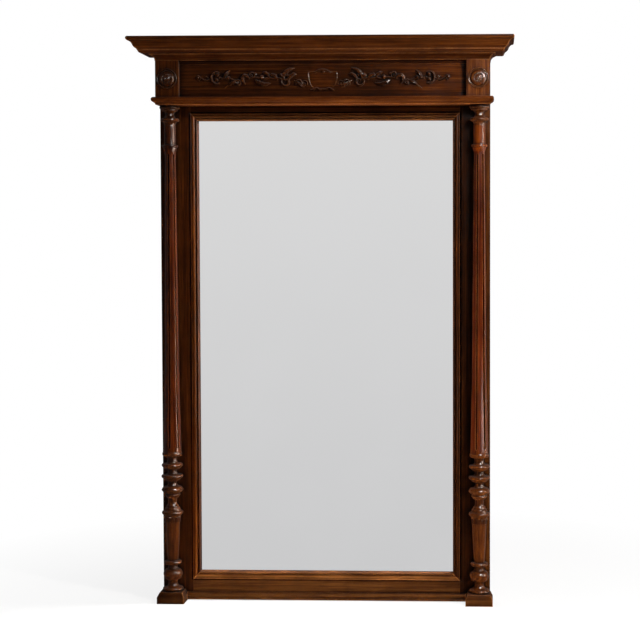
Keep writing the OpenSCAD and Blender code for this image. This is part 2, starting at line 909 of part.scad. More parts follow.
module rosette_right_body() {
    translate([half_w - block_w / 2, -block_d, (frieze_z + bed_z) / 2]) rotate([90, 0, 0]) {
        rotate_extrude() rosette_section();
        translate([0, 0, -rosette_pin_l]) cylinder(d = rosette_pin_d, h = rosette_pin_l + over);
        for (i = [0:dot_count - 1]) {
            rotate([0, 0, i * 360 / dot_count]) translate([rosette_dome_d / 2 + 2.4, 0, 2.6]) sphere(d = 3.2, $fn = 24);
        }
    }
}

module rosette_right() {
    color(oak_light) set_back() rosette_right_body();
}

module rosette_left() {
    color(oak_light) set_back() mirror([1, 0, 0]) rosette_right_body();
}

module frieze_block_right_body() {
    difference() {
        box([block_in, -block_d, frieze_z], [half_w, 0, bed_z]);
        box([block_in - over, frieze_y - fit / 2, frieze_z - over],
            [block_in + housing + fit, frieze_y + frieze_t + fit / 2, bed_z + over]);
        translate([half_w - block_w / 2, -block_d - over, (frieze_z + bed_z) / 2]) {
            rotate([-90, 0, 0]) cylinder(d = rosette_pin_d + fit, h = rosette_pin_l + over + fit);
        }
    }
}

module frieze_block_right() {
    color(oak) set_back() frieze_block_right_body();
}

module frieze_block_left() {
    color(oak) set_back() mirror([1, 0, 0]) frieze_block_right_body();
}

// The carving: a garland of scrolls, berries and leaves on each side of a cartouche.
// Each row of LEAVES holds x, z, length, width and angle; of BERRIES x, z and diameter;
// of SCROLLS x, z, diameter, thickness, first angle and sweep. x is counted from the middle, z from mid-frieze.
LEAVES = [
    [95, 24, 26, 12, 62], [94, -1, 30, 12, -28], [149, 10, 46, 12, 8],
    [176, -15, 44, 13, 4], [208, 8, 26, 11, -34], [240, 0, 44, 17, 78],
    [288, -18, 34, 12, -34], [297, 19, 22, 10, 50], [364, 1, 34, 9, -6]
];
BERRIES = [
    [135, -4, 10], [187, 5, 13], [222, 17, 11], [298, 3, 13], [331, 1, 14], [389, 5, 12]
];
SCROLLS = [
    [72, -14, 30, 8, 0, 360], [50, -16, 22, 7, 0, 360], [114, -11, 29, 7, 20, 320],
    [326, 1, 38, 7, 60, 250], [262, -13, 20, 6, 0, 300]
];
carve_z = (frieze_z + bed_z) / 2;
cartouche_w = 92;
cartouche_h = 58;

module leaf(l, w, h) {
    edge_r = (l * l + w * w) / (4 * w);
    crown_half = w / 2 + 1.2;
    crown_r = (crown_half * crown_half + h * h) / (2 * h);
    intersection() {
        translate([0, edge_r - w / 2, -over]) cylinder(r = edge_r, h = h + 2 * over);
        translate([0, w / 2 - edge_r, -over]) cylinder(r = edge_r, h = h + 2 * over);
        translate([-l / 2, 0, h - crown_r]) rotate([0, 90, 0]) cylinder(r = crown_r, h = l);
        translate([-l / 2, -w / 2, 0]) cube([l, w, h]);
    }
}

module scroll(d, t, first, sweep) {
    intersection() {
        rotate([0, 0, first]) rotate_extrude(angle = sweep) translate([d / 2 - t / 2, 0]) circle(d = t, $fn = 24);
        cylinder(d = d + over, h = t);
    }
}

module garland_right() {
    for (row = LEAVES) {
        translate([row[0], row[1], 0]) rotate([0, 0, row[4]]) leaf(row[2], row[3], relief * 0.7);
    }
    for (row = BERRIES) {
        translate([row[0], row[1], 0]) intersection() {
            sphere(d = row[2], $fn = 24);
            cylinder(d = row[2] + over, h = relief);
        }
    }
    for (row = SCROLLS) {
        translate([row[0], row[1], 0]) scroll(row[2], row[3], row[4], row[5]);
    }
}

// The cartouche: an oval shield made from two arcs, with a raised rim.
module cartouche_outline(inset) {
    w = cartouche_w - 2 * inset;
    h = cartouche_h - 2 * inset;
    r = (w * w + h * h) / (4 * h);
    intersection() {
        translate([0, r - h / 2]) circle(r = r);
        translate([0, h / 2 - r]) circle(r = r);
    }
}

module cartouche() {
    translate([0, -9, 0]) difference() {
        linear_extrude(height = relief * 0.8) cartouche_outline(0);
        translate([0, 0, relief * 0.4]) linear_extrude(height = relief) cartouche_outline(6);
    }
}

module frieze_carving() {
    color(oak_light) set_back() translate([0, frieze_y, carve_z]) rotate([90, 0, 0]) {
        cartouche();
        both_sides() garland_right();
    }
}

left_stile();
right_stile();
top_rail();
bottom_rail();
tenon_pegs();
sight_moulding_left();
sight_moulding_right();
sight_moulding_top();
sight_moulding_bottom();
mirror_glass();
glass_blocks();
backboard_lower();
backboard_middle();
backboard_upper();
backboard_screws();
base_ledge();
plinth_left();
plinth_right();
column_left();
column_right();
column_dowels();
shelf_board();
frieze_board();
frieze_carving();
frieze_block_left();
frieze_block_right();
rosette_left();
rosette_right();
bed_mould_front();
bed_mould_left();
bed_mould_right();
corona_board();
crown_front();
crown_left();
crown_right();
cornice_back_rail();
cornice_blocks();
dust_board();
hanging_plate_left();
hanging_plate_right();
hanging_plate_screws();
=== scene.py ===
"""Looks for the full-length pier mirror: waxed oak, silvered glass, turned columns and carving."""

import math
import random

import bmesh
import bpy
import numpy as np
from mathutils import Matrix, Vector


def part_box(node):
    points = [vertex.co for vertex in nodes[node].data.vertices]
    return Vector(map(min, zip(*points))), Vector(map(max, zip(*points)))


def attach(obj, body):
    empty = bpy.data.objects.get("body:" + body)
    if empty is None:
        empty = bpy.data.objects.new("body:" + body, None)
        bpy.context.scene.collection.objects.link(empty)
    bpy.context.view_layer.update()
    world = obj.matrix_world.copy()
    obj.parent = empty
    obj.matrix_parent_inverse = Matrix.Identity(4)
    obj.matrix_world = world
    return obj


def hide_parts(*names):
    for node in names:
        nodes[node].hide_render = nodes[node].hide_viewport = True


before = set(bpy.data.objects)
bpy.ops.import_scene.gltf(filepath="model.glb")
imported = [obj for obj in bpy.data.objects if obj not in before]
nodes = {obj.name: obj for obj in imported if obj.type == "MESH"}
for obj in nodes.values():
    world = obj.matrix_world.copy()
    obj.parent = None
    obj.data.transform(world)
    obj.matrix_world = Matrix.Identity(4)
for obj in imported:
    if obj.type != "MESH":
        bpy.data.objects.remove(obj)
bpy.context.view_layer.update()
MM = 0.001

# ---------------------------------------------------------------- materials


class Tree:
    """The node tree of a material or world, with short calls to add and link nodes."""

    def __init__(self, owner, output="Material"):
        owner.use_nodes = True
        self.owner = owner
        self.nodes = owner.node_tree.nodes
        self.links = owner.node_tree.links
        self.nodes.clear()
        self.out = self.nodes.new("ShaderNodeOutput" + output)

    def add(self, kind, settings=None, **inputs):
        """A new node. Inputs are given by name, with _ for a space, as numbers or as output sockets."""
        node = self.nodes.new("ShaderNode" + kind)
        for key, value in (settings or {}).items():
            setattr(node, key, value)
        for key, value in inputs.items():
            self.put(node, key.replace("_", " "), value)
        return node

    def put(self, node, key, value):
        """Sets an input, given by name or number, to a value, or links it to an output socket."""
        socket = node.inputs[key]
        if isinstance(value, bpy.types.NodeSocket):
            self.links.new(value, socket)
        else:
            socket.default_value = value

    def math(self, operation, a, b=0.0, clamp=False):
        """One step of arithmetic on two values."""
        node = self.add("Math", {"operation": operation, "use_clamp": clamp})
        self.put(node, 0, a)
        self.put(node, 1, b)
        return node.outputs[0]

    def span(self, value, low, high, new_low=0.0, new_high=1.0):
        """The value moved from one range to another, and held at its ends."""
        node = self.add("MapRange", {"clamp": True})
        for key, number in zip(
            ("Value", "From Min", "From Max", "To Min", "To Max"),
            (value, low, high, new_low, new_high),
        ):
            self.put(node, key, number)
        return node.outputs[0]

    def mix(self, share, a, b, blend="MIX"):
        """A mix of two colours, each given as a socket or as red, green and blue."""
        node = self.add("Mix", {"data_type": "RGBA", "blend_type": blend})
        self.put(node, 0, share)
        for index, colour in ((6, a), (7, b)):
            self.put(node, index, colour if isinstance(colour, bpy.types.NodeSocket) else (*colour, 1.0))
        return node.outputs[2]

    def noise(self, vector, scale, detail=2.0, roughness=0.5, distortion=0.0):
        """Smooth noise with values round a half."""
        node = self.add("TexNoise")
        for key, value in (
            ("Vector", vector),
            ("Scale", scale),
            ("Detail", detail),
            ("Roughness", roughness),
            ("Distortion", distortion),
        ):
            self.put(node, key, value)
        return node.outputs["Fac"]

    def between(self, share, a, b):
        """A mix of two shaders."""
        node = self.add("MixShader")
        for index, value in enumerate((share, a.outputs[0], b.outputs[0])):
            self.put(node, index, value)
        return node

    def close(self, shader):
        """Links the finished shader to the output, and gives back the material or world."""
        self.put(self.out, "Surface", shader.outputs[0])
        return self.owner


def stretched(tree, source, scale, shift=(0, 0, 0)):
    """The coordinates scaled differently along each axis, as grain needs."""
    node = tree.add("Mapping")
    tree.put(node, "Vector", source)
    tree.put(node, "Scale", scale)
    tree.put(node, "Location", shift)
    return node.outputs[0]


def grain_of(tree, axis, seed):
    """The object's coordinates, and a function for noise drawn out along the grain. A seed has its own place in it.
    The function takes the noise's scale across and along the grain, its detail, roughness and distortion."""
    dice = random.Random(seed)
    shift = tuple(dice.uniform(-9, 9) for _ in range(3))
    place = tree.add("TexCoord").outputs["Object"]

    def fibres(across_scale, along_scale, *look):
        scale = tuple(along_scale if a == axis else across_scale for a in "XYZ")
        return tree.noise(stretched(tree, place, scale, shift), 1.0, *look)

    return place, fibres


# Stained oak: deepest, middle and lightest colour of the grain, and the bare wood of a worn edge.
OAK = ((0.0185, 0.0043, 0.0007), (0.049, 0.0118, 0.0017), (0.106, 0.0285, 0.0045))
WORN = (0.250, 0.088, 0.026)
# Roughness and specular level of the wax, on flat boards and on turned and carved work.
FLAT_WAX, CARVED_WAX = (0.20, 0.010), (0.12, 0.023)
# Width of the rubbed edges, in metres, and the shares of the deepest colour that pores keep and that grime with
# painted shade keeps in the hollows.
RUBBED, PORE_SHADE, GRIME_AND_SHADE_SHARE = 0.003, 0.35, 0.12


def oak(name, axis, tone_and_light, seed, worn, carved, depth, faded, stains_and_light):
    """Dark stained, waxed oak with its grain along an axis. Its tone holds painted light and shade besides the wood's
    own tone. Turned and carved work is polished brighter, depth is how far the grime and painted shade reach out of
    the hollows, and faded how far the stain has turned golden. A stain, or a stretch of painted light or shade, lies
    along
    an axis with another colour: axis, start, end, softness and the colour it is multiplied by."""
    gloss, level = CARVED_WAX if carved else FLAT_WAX
    tree = Tree(bpy.data.materials.new(name))
    place, fibres = grain_of(tree, axis, seed)
    streaks = fibres(135, 2.6, 4.0, 0.6, 0.3)
    broad = fibres(18, 1.0, 2.0, 0.5, 0.5)
    fine = fibres(330, 8, 3.0, 0.6)
    pores = fibres(1500, 42, 1.0)
    cloud = tree.noise(place, 11.0, 3.0, 0.6)
    grain = tree.math("ADD", tree.math("MULTIPLY", streaks, 0.42), tree.math("MULTIPLY", broad, 0.16))
    grain = tree.math("ADD", grain, tree.math("MULTIPLY", fine, 0.42))
    # The tone scales every colour, and carries painted light and shade besides the wood's own tone.
    deep, middle, light = [(r * tone_and_light, g * tone_and_light * (1 + faded), b * tone_and_light * (1 + 3 * faded)) for r, g, b in OAK]
    colour = tree.mix(tree.span(grain, 0.38, 0.51), deep, middle)
    colour = tree.mix(tree.span(grain, 0.50, 0.66), colour, light)
    patina = tree.span(cloud, 0.3, 0.7, 0.74, 1.22)
    shade = tree.add("CombineColor", Red=patina, Green=patina, Blue=patina).outputs[0]
    colour = tree.mix(1.0, colour, shade, "MULTIPLY")
    # Stains and stretches of painted light and shade multiply the colour.
    for side, start, end, soft, tint in stains_and_light:
        at = tree.add("SeparateXYZ", Vector=place).outputs[side]
        starts = tree.span(at, start, start + soft)
        ends = tree.span(at, end - soft, end, 1.0, 0.0)
        colour = tree.mix(tree.math("MULTIPLY", starts, ends), colour, tint, "MULTIPLY")
    pore = tree.span(pores, 0.60, 0.70)
    colour = tree.mix(tree.math("MULTIPLY", pore, 0.6), colour, tuple(c * PORE_SHADE for c in deep))
    # Grime and painted shade darken the hollows, and the stain is rubbed thin along the edges.
    hollow = tree.add("AmbientOcclusion", {"samples": 4, "only_local": False}, Distance=depth).outputs["AO"]
    grime_and_shade = tree.span(hollow, 0.45, 0.98 if carved else 0.94, 0.94, 0.0)
    colour = tree.mix(grime_and_shade, colour, tuple(c * GRIME_AND_SHADE_SHARE for c in deep))
    inner = {"samples": 4, "only_local": True, "inside": True}
    rubbed = tree.add("AmbientOcclusion", inner, Distance=RUBBED).outputs["AO"]
    edge = tree.math("MULTIPLY", tree.span(rubbed, 0.35, 0.9, 1.0, 0.0), tree.span(cloud, 0.35, 0.6, 0.25, 1.0))
    colour = tree.mix(tree.math("MULTIPLY", edge, worn), colour, tuple(c * tone_and_light for c in WORN))
    rough = tree.span(tree.noise(place, 60.0, 3.0), 0.3, 0.7, gloss - 0.03, gloss + 0.07)
    rough = tree.math("ADD", rough, tree.math("MULTIPLY", grime_and_shade, 0.05))
    # Wax is dull where the eye skims along it.
    facing = tree.add("LayerWeight", Blend=0.5).outputs["Facing"]
    rough = tree.math("ADD", rough, tree.span(facing, 0.36, 0.78, 0.0, 0.8), clamp=True)
    height = tree.math("SUBTRACT", tree.math("MULTIPLY", fine, 0.5), tree.math("MULTIPLY", pore, 0.8))
    bump = tree.add("Bump", Strength=0.2, Distance=0.0006, Height=height)
    shader = tree.add("BsdfPrincipled", Base_Color=colour, Roughness=rough, Normal=bump.outputs[0])
    shader.inputs["Specular IOR Level"].default_value = level
    return tree.close(shader)


# Bare pine between its rings and in them, and its brown stains.
PINE_PALE, PINE_RING, PINE_STAIN = (0.46, 0.29, 0.145), (0.24, 0.125, 0.052), (0.13, 0.075, 0.038)


def pine(name, axis, seed):
    """Bare softwood, browned by age, with sawn grain."""
    tree = Tree(bpy.data.materials.new(name))
    place, fibres = grain_of(tree, axis, seed)
    rings = fibres(34, 1.1, 3.0, 0.5, 1.2)
    fine = fibres(420, 9, 2.0, 0.6)
    saw = fibres(6, 320, 1.0)
    stain = tree.noise(place, 4.5, 4.0, 0.6)
    grain = tree.math("ADD", tree.math("MULTIPLY", rings, 0.75), tree.math("MULTIPLY", fine, 0.25))
    colour = tree.mix(tree.span(grain, 0.38, 0.62), PINE_RING, PINE_PALE)
    colour = tree.mix(tree.span(stain, 0.45, 0.75, 0.0, 0.55), colour, PINE_STAIN)
    height = tree.math("ADD", tree.math("MULTIPLY", fine, 0.5), tree.math("MULTIPLY", saw, 0.5))
    bump = tree.add("Bump", Strength=0.3, Distance=0.0008, Height=height)
    rough = tree.span(fine, 0.3, 0.7, 0.62, 0.8)
    shader = tree.add("BsdfPrincipled", Base_Color=colour, Roughness=rough, Normal=bump.outputs[0])
    shader.inputs["Specular IOR Level"].default_value = 0.02
    return tree.close(shader)


STEEL_DARK, STEEL_PALE, RUST = (0.24, 0.23, 0.22), (0.38, 0.37, 0.35), (0.11, 0.045, 0.02)


def steel(name):
    """Dull steel with fine scratches and a few rust spots."""
    tree = Tree(bpy.data.materials.new(name))
    place = tree.add("TexCoord").outputs["Object"]
    scratch = tree.noise(stretched(tree, place, (900, 900, 60)), 1.0, 2.0)
    spots = tree.noise(place, 240.0, 3.0, 0.65)
    rust = tree.span(spots, 0.58, 0.70)
    colour = tree.mix(rust, tree.mix(tree.span(scratch, 0.3, 0.7), STEEL_DARK, STEEL_PALE), RUST)
    shader = tree.add(
        "BsdfPrincipled",
        Base_Color=colour,
        Metallic=tree.span(rust, 0.0, 1.0, 0.95, 0.1),
        Roughness=tree.span(scratch, 0.3, 0.7, 0.34, 0.5),
        Normal=tree.add("Bump", Strength=0.12, Distance=0.0003, Height=scratch).outputs[0],
    )
    return tree.close(shader)


# The glass at its lower and upper end, painted greyer at the foot as a darker reflection, in its faint clouds and in
# its specks, and its lowest and highest point.
GLASS_LOW, GLASS_HIGH = (0.590, 0.590, 0.597), (0.692, 0.692, 0.694)
GLASS_CLOUD, GLASS_SPECK = (0.72, 0.72, 0.73), (0.25, 0.24, 0.23)
GLASS_FOOT_Z, GLASS_HEAD_Z = 0.09, 1.50


def looking_glass(name):
    """Silvered glass: a clean mirror, painted a touch greyer towards the floor as a darker reflection, with faint
    clouds and specks.
    """
    tree = Tree(bpy.data.materials.new(name))
    place = tree.add("TexCoord").outputs["Object"]
    height = tree.add("SeparateXYZ", Vector=place).outputs["Z"]
    # Painted shade in the reflection: the glass is greyer towards the floor.
    colour = tree.mix(tree.span(height, GLASS_FOOT_Z, GLASS_HEAD_Z), GLASS_LOW, GLASS_HIGH)
    cloud = tree.noise(place, 3.0, 2.0)
    colour = tree.mix(tree.span(cloud, 0.4, 0.6, 0.0, 0.06), colour, GLASS_CLOUD)
    specks = tree.span(tree.noise(place, 520.0, 2.0, 0.7), 0.74, 0.80)
    colour = tree.mix(tree.math("MULTIPLY", specks, 0.35), colour, GLASS_SPECK)
    rough = tree.span(cloud, 0.3, 0.7, 0.004, 0.012)
    shader = tree.add("BsdfPrincipled", Base_Color=colour, Roughness=rough, Metallic=1.0)
    return tree.close(shader)


# ---------------------------------------------------------------- soft edges

# An edge that turns by more degrees than this stays sharp in the shading, and is rounded. Points of a mesh that lie
# closer than the gap, in metres, are joined before that.
SHARP_EDGE, WELD_GAP = 34, 0.00002


def smooth_by_angle(limit):
    """A node group that shades smooth everywhere but at edges sharper than the limit, in degrees."""
    group = bpy.data.node_groups.new("smooth_by_angle_%d" % limit, "GeometryNodeTree")
    group.interface.new_socket("Geometry", in_out="INPUT", socket_type="NodeSocketGeometry")
    group.interface.new_socket("Geometry", in_out="OUTPUT", socket_type="NodeSocketGeometry")
    start = group.nodes.new("NodeGroupInput")
    end = group.nodes.new("NodeGroupOutput")
    faces = group.nodes.new("GeometryNodeSetShadeSmooth")
    faces.domain = "FACE"
    edges = group.nodes.new("GeometryNodeSetShadeSmooth")
    edges.domain = "EDGE"
    edges.inputs["Shade Smooth"].default_value = False
    angle = group.nodes.new("GeometryNodeInputMeshEdgeAngle")
    sharp = group.nodes.new("FunctionNodeCompare")
    sharp.operation = "GREATER_THAN"
    sharp.inputs[1].default_value = math.radians(limit)
    group.links.new(start.outputs[0], faces.inputs["Geometry"])
    group.links.new(faces.outputs[0], edges.inputs["Geometry"])
    group.links.new(angle.outputs["Unsigned Angle"], sharp.inputs[0])
    group.links.new(sharp.outputs[0], edges.inputs["Selection"])
    group.links.new(edges.outputs[0], end.inputs[0])
    return group


SMOOTH = smooth_by_angle(SHARP_EDGE)


def dress(obj, material, bevel=0.0):
    """Gives a piece its material, edges rounded by the bevel and even shading."""
    obj.data.materials.clear()
    obj.data.materials.append(material)
    if bevel:
        weld = obj.modifiers.new("weld", "WELD")
        weld.merge_threshold = WELD_GAP
        soft = obj.modifiers.new("bevel", "BEVEL")
        soft.width = bevel
        soft.segments = 2
        soft.limit_method = "ANGLE"
        soft.angle_limit = math.radians(SHARP_EDGE)
        soft.use_clamp_overlap = True
        soft.miter_outer = "MITER_ARC"
    shade = obj.modifiers.new("smooth", "NODES")
    shade.node_group = SMOOTH
    even = obj.modifiers.new("even", "WEIGHTED_NORMAL")
    even.keep_sharp = True


# ---------------------------------------------------------------- turned and carved pieces


def arc(a, b, rise):
    """Points from a to b along an arc that stands out by rise to the right, or a straight line."""
    a, b = Vector(a), Vector(b)
    if not rise:
        return [a, b]
    ahead = (b - a).normalized()
    out = Vector((ahead.y, -ahead.x)) * math.copysign(1, rise)
    half = (b - a).length / 2
    rise = abs(rise)
    radius = (half * half + rise * rise) / (2 * rise)
    turn = math.asin(half / radius)
    steps = max(6, min(24, round(2 * half)))
    angles = [turn * (2 * i / steps - 1) for i in range(steps + 1)]
    return [(a + b) / 2 + ahead * radius * math.sin(t) + out * (radius * (math.cos(t) - 1) + rise) for t in angles]


# The rim of a disc bulges by this share of its height, a little less than a half circle would.
RIM_BULGE = 0.42


def disc(height, diameter):
    """A row for a disc with a round rim."""
    bulge = RIM_BULGE * height
    return height, diameter - 2 * bulge, diameter - 2 * bulge, bulge


def turned(z, rows):
    """The outline of turned work from rows of height, foot diameter, head diameter and bulge, in millimetres."""
    points = []
    for height, foot, head, bulge in rows:
        points += arc((foot / 2, z), (head / 2, z + height), bulge)
        z += height
    return points


# Points closer than the first, in millimetres, are one point, and a wider angle than the second is no corner.
ONE_POINT, NO_CORNER = 0.01, math.radians(152)


def soften(points, reach=0.55):
    """Rounds the corners of an outline a little, as wax and wear do, by a reach in millimetres."""
    soft = [points[0]]
    for before, corner, after in zip(points, points[1:], points[2:]):
        back, ahead = before - corner, after - corner
        if back.length < ONE_POINT:
            continue
        if ahead.length < ONE_POINT or back.angle(ahead) > NO_CORNER:
            soft.append(corner)
            continue
        near = corner + back.normalized() * min(reach, back.length * 0.4)
        far = corner + ahead.normalized() * min(reach, ahead.length * 0.4)
        soft += [near, (near + far) / 4 + corner / 2, far]
    return soft + [points[-1]]


def lathe(outline, spin, relief=None):
    """A closed turned mesh: spin gives the angles for a radius and height, and relief what is added to a radius."""
    points, faces = [], []
    for radius, z in outline:
        turns = spin(radius, z)
        for turn in turns:
            r = radius + (relief(turn, radius, z) if relief else 0)
            points.append((r * math.cos(turn), r * math.sin(turn), z))
    count = len(turns)
    for low in range(0, len(points) - count, count):
        for j in range(count):
            k = (j + 1) % count
            faces.append((low + j, low + k, low + count + k, low + count + j))
    faces.append(tuple(reversed(range(count))))
    faces.append(tuple(range(len(points) - count, len(points))))
    return points, faces


def build(name, points, faces, material, node=None):
    """Makes a piece of the whole from points in metres. Where a node is named, the piece stands in its place."""
    mesh = bpy.data.meshes.new(name)
    mesh.from_pydata(points, [], faces)
    shape = bmesh.new()
    shape.from_mesh(mesh)
    bmesh.ops.dissolve_degenerate(shape, dist=0.002 * MM, edges=shape.edges)
    shape.to_mesh(mesh)
    shape.free()
    piece = bpy.data.objects.new(name, mesh)
    bpy.context.scene.collection.objects.link(piece)
    dress(piece, material)
    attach(piece, "root")
    if node:
        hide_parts(node)


# The columns have the rows of their solids with finer arcs, round flutes and a carved collar of leaves.
FOOT = (
    disc(11, 64), (15, 50, 29, -3), (3, 29, 29, 0), (7, 29, 41, -1.2), (10, 44, 54, 1.6), (21, 56, 44, 4),
    (7, 42, 31, -1.4), (9, 30, 30, -0.6), disc(12, 54), (120.5, 33, 45, 0.8), (19, 46, 49, 0.05),
    (5.5, 50, 57, 0.6), disc(12, 66), (2.5, 52, 52, 0), (8.5, 49, 42, 1.2), (8, 39, 33, 1), (14, 31, 28, -1.2),
    (7, 28, 30, -0.4), (8, 32, 45, 1.4), (5, 48, 48, 0.6), (4.5, 46, 50, -0.5), (5.5, 53, 61, 1.2), disc(5, 67),
    (9, 64, 44, 2.2), (5, 39, 31, -0.8), (11, 29, 29, -0.6), (9.5, 32, 57, 1.6), disc(11, 67), (4, 44, 34, -0.8),
    (11, 31, 29, -0.6), (9, 32, 57, 1.6), disc(11, 65), (5, 44, 34, -0.9), (17.5, 32, 32, -1), (9.5, 50, 60, 2.4),
)
HEAD = (
    disc(9, 50), (57.5, 36.5, 36.5, 0), (13.5, 36.5, 47, -2), disc(11, 58), (11.5, 40, 27, -1.6),
    (11.5, 27, 48, -2.4), (4, 51, 51, 0), disc(12, 62),
)
COLLAR_ROW = 10  # the first row of the foot that carries leaves
COLUMN_LOW, COLUMN_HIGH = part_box("column_right")
FOOT_Z = COLUMN_LOW[2] / MM
SHAFT_Z = FOOT_Z + sum(row[0] for row in FOOT)
HEAD_Z = COLUMN_HIGH[2] / MM - sum(row[0] for row in HEAD)
COLLAR_Z = FOOT_Z + sum(row[0] for row in FOOT[:COLLAR_ROW])
# The column's axis: its distance from the middle of the mirror, and from the face of the stiles.
COLUMN_X, COLUMN_OUT = 480.5, 17.8
# The shaft's radius and height at its foot, at its knee, where the taper changes, and at its head.
SHAFT = (Vector((30, SHAFT_Z)), Vector((24.5, SHAFT_Z + 226)), Vector((18, HEAD_Z)))
# The flutes: how many, half their width, their depth, their ends, and how far an end runs out.
FLUTES, FLUTE_HALF, FLUTE_DEPTH = 6, 3.1, 5.0
FLUTE_LOW, FLUTE_HIGH, FLUTE_RUN = SHAFT_Z + 16, HEAD_Z - 20, 6.0
SECTOR = 2 * math.pi / FLUTES
# The shaft between the flutes: how flat it is, its ends, and the turn and roundness of the arris in it.
FLAT, FACET_LOW, FACET_HIGH = 0.8, SHAFT_Z + 1, HEAD_Z - 12
ARRIS_TURN, ARRIS_ROUND = math.radians(9), 0.09
# The points of the mesh across a flute, as shares of its half width, and their number between two flutes.
FLUTE_POINTS = [math.sin(math.radians(a)) for a in range(-90, 91, 18)]
PLAIN_POINTS = 24
# The flutes' points keep at least this share of their spread, and radii outside these two count as the nearer one.
LEAST_SPREAD, SPREAD_RADII = 0.25, (16.0, 32.0)


def open_share(z, low, high):
    """How far a flute or facet is open at a height: it runs out in a round end at both ends."""
    run = min(z - low, high - z) / FLUTE_RUN
    return 0.0 if run <= 0 else math.sqrt(1 - (1 - min(run, 1.0)) ** 2)


def column_spin(radius, z, first):
    """Angles round a column: close together across each flute, even between them. The first flute's angle is given."""
    share = max(open_share(z, FLUTE_LOW, FLUTE_HIGH), LEAST_SPREAD)
    half = math.asin(FLUTE_HALF * share / min(max(radius, SPREAD_RADII[0]), SPREAD_RADII[1]))
    gap = SECTOR - 2 * half
    turns = []
    for i in range(FLUTES):
        middle = first + i * SECTOR
        turns += [middle + half * p for p in FLUTE_POINTS]
        turns += [middle + half + gap * j / (PLAIN_POINTS + 1) for j in range(1, PLAIN_POINTS + 1)]
    return turns


# The collar: how many leaves, and in millimetres their height, their relief and how deep their ground lies.
LEAVES, LEAF_H, LEAF_RELIEF, LEAF_GROUND = 12, 19.0, 1.5, 0.4
# Each leaf has a vein, of this width and depth, and a wavy edge, by this share of its width.
VEIN_WIDTH, VEIN_DEPTH, LEAF_WAVE = 0.06, 0.55, 0.14


def one_leaf(aside, up, reach):
    """Height of a pointed leaf, at shares of its width from the middle line and of its height from the foot."""
    wave = 1 - LEAF_WAVE + LEAF_WAVE * math.cos(up * 22)
    width = 0.5 * math.sqrt(max(0.0, 1 - (up / reach) ** 2.6)) * wave
    if up >= reach or abs(aside) >= width:
        return 0.0
    round_back = math.sqrt(1 - (aside / width) ** 2)
    vein = math.exp(-((aside / VEIN_WIDTH) ** 2))
    return (1.0 + 0.9 * (up / reach) ** 2) * round_back - VEIN_DEPTH * vein


def around(turn):
    """An angle measured from the nearest multiple of a sector, as the shaft repeats from flute to flute."""
    return (turn + SECTOR / 2) % SECTOR - SECTOR / 2


def column_relief(turn, radius, z, first):
    """The shaft is flattened between its flutes, the flutes are cut into it, and leaves stand on the collar."""
    if FACET_LOW < z < FACET_HIGH:
        share = open_share(z, FLUTE_LOW, FLUTE_HIGH)
        side = radius * math.sin(around(turn - first)) / (FLUTE_HALF * max(share, LEAST_SPREAD))
        groove = FLUTE_DEPTH * share * math.sqrt(1 - side * side) if abs(side) < 1 else 0.0
        corner = math.hypot(around(turn - first - ARRIS_TURN), ARRIS_ROUND)
        flat = 1 - math.cos(SECTOR / 2) / math.cos(SECTOR / 2 - corner)
        return -radius * FLAT * flat * open_share(z, FACET_LOW, FACET_HIGH) - groove
    up = (z - COLLAR_Z) / LEAF_H
    if 0.0 < up < 1.0:
        place = turn * LEAVES / (2 * math.pi)
        front = one_leaf((place % 1.0) - 0.5, up, 0.97)
        behind = 0.6 * one_leaf(((place + 0.5) % 1.0) - 0.5, up, 1.05)
        return LEAF_RELIEF * max(front, behind) - LEAF_GROUND
    return 0.0


def column_outline():
    """The column's outline, with close heights on the shaft where the flutes and facets run out."""
    foot, knee, head = SHAFT
    heights = [low + FLUTE_RUN * i / 8 for low in (FLUTE_LOW, FACET_LOW) for i in range(9)]
    heights += [high - FLUTE_RUN * i / 8 for high in (FLUTE_HIGH, FACET_HIGH) for i in range(9)]
    heights += [SHAFT_Z + (HEAD_Z - SHAFT_Z) * i / 24 for i in range(1, 24)]
    middle = []
    for z in sorted(heights):
        low, high = (foot, knee) if z < knee.y else (knee, head)
        middle.append(low.lerp(high, (z - low.y) / (high.y - low.y)))
    return soften(turned(FOOT_Z, FOOT)) + middle + soften(turned(HEAD_Z, HEAD))


def turned_column(side, name, node, material, flute_at):
    """One column, cut flat where it meets the stile. Its first flute stands at an angle in degrees."""
    first = math.radians(flute_at)
    points, faces = lathe(
        column_outline(),
        lambda radius, z: column_spin(radius, z, first),
        lambda turn, radius, z: column_relief(turn, radius, z, first),
    )
    placed = [
        (side * (COLUMN_X + x) * MM, COLUMN_HIGH[1] + (min(y, COLUMN_OUT) - COLUMN_OUT) * MM, z * MM)
        for x, y, z in points
    ]
    if side < 0:
        faces = [tuple(reversed(face)) for face in faces]
    build(name, placed, faces, material, node)


# The rosettes: a round rim, a valley, a broad boss with a ring of dots and a knob with a dimple. Each row holds
# radius, height over the block and the bulge on the way to it.
ROSETTE = (
    (31.0, 0.0, 0), (30.8, 2.6, 0.4), (27.8, 3.6, 1.6), (26.0, 0.9, -0.3), (25.2, 0.9, 0), (14.8, 7.8, 2.2),
    (14.0, 6.6, 0), (10.4, 6.6, -0.4), (9.8, 8.2, 0.3), (6.0, 9.4, 0.5), (5.2, 8.6, 0), (4.6, 8.6, 0), (4.2, 10.2, 0),
    (2.4, 10.6, 0.5), (1.9, 8.6, 0), (0.4, 8.4, 0),
)
ROSETTE_TURNS = [2 * math.pi * i / 140 for i in range(140)]
# The dots: how many, and in millimetres the radius of their ring, their own radius and the height of their ground.
DOTS, DOT_RING, DOT_R, DOT_FOOT = 14, 12.0, 1.9, 6.4


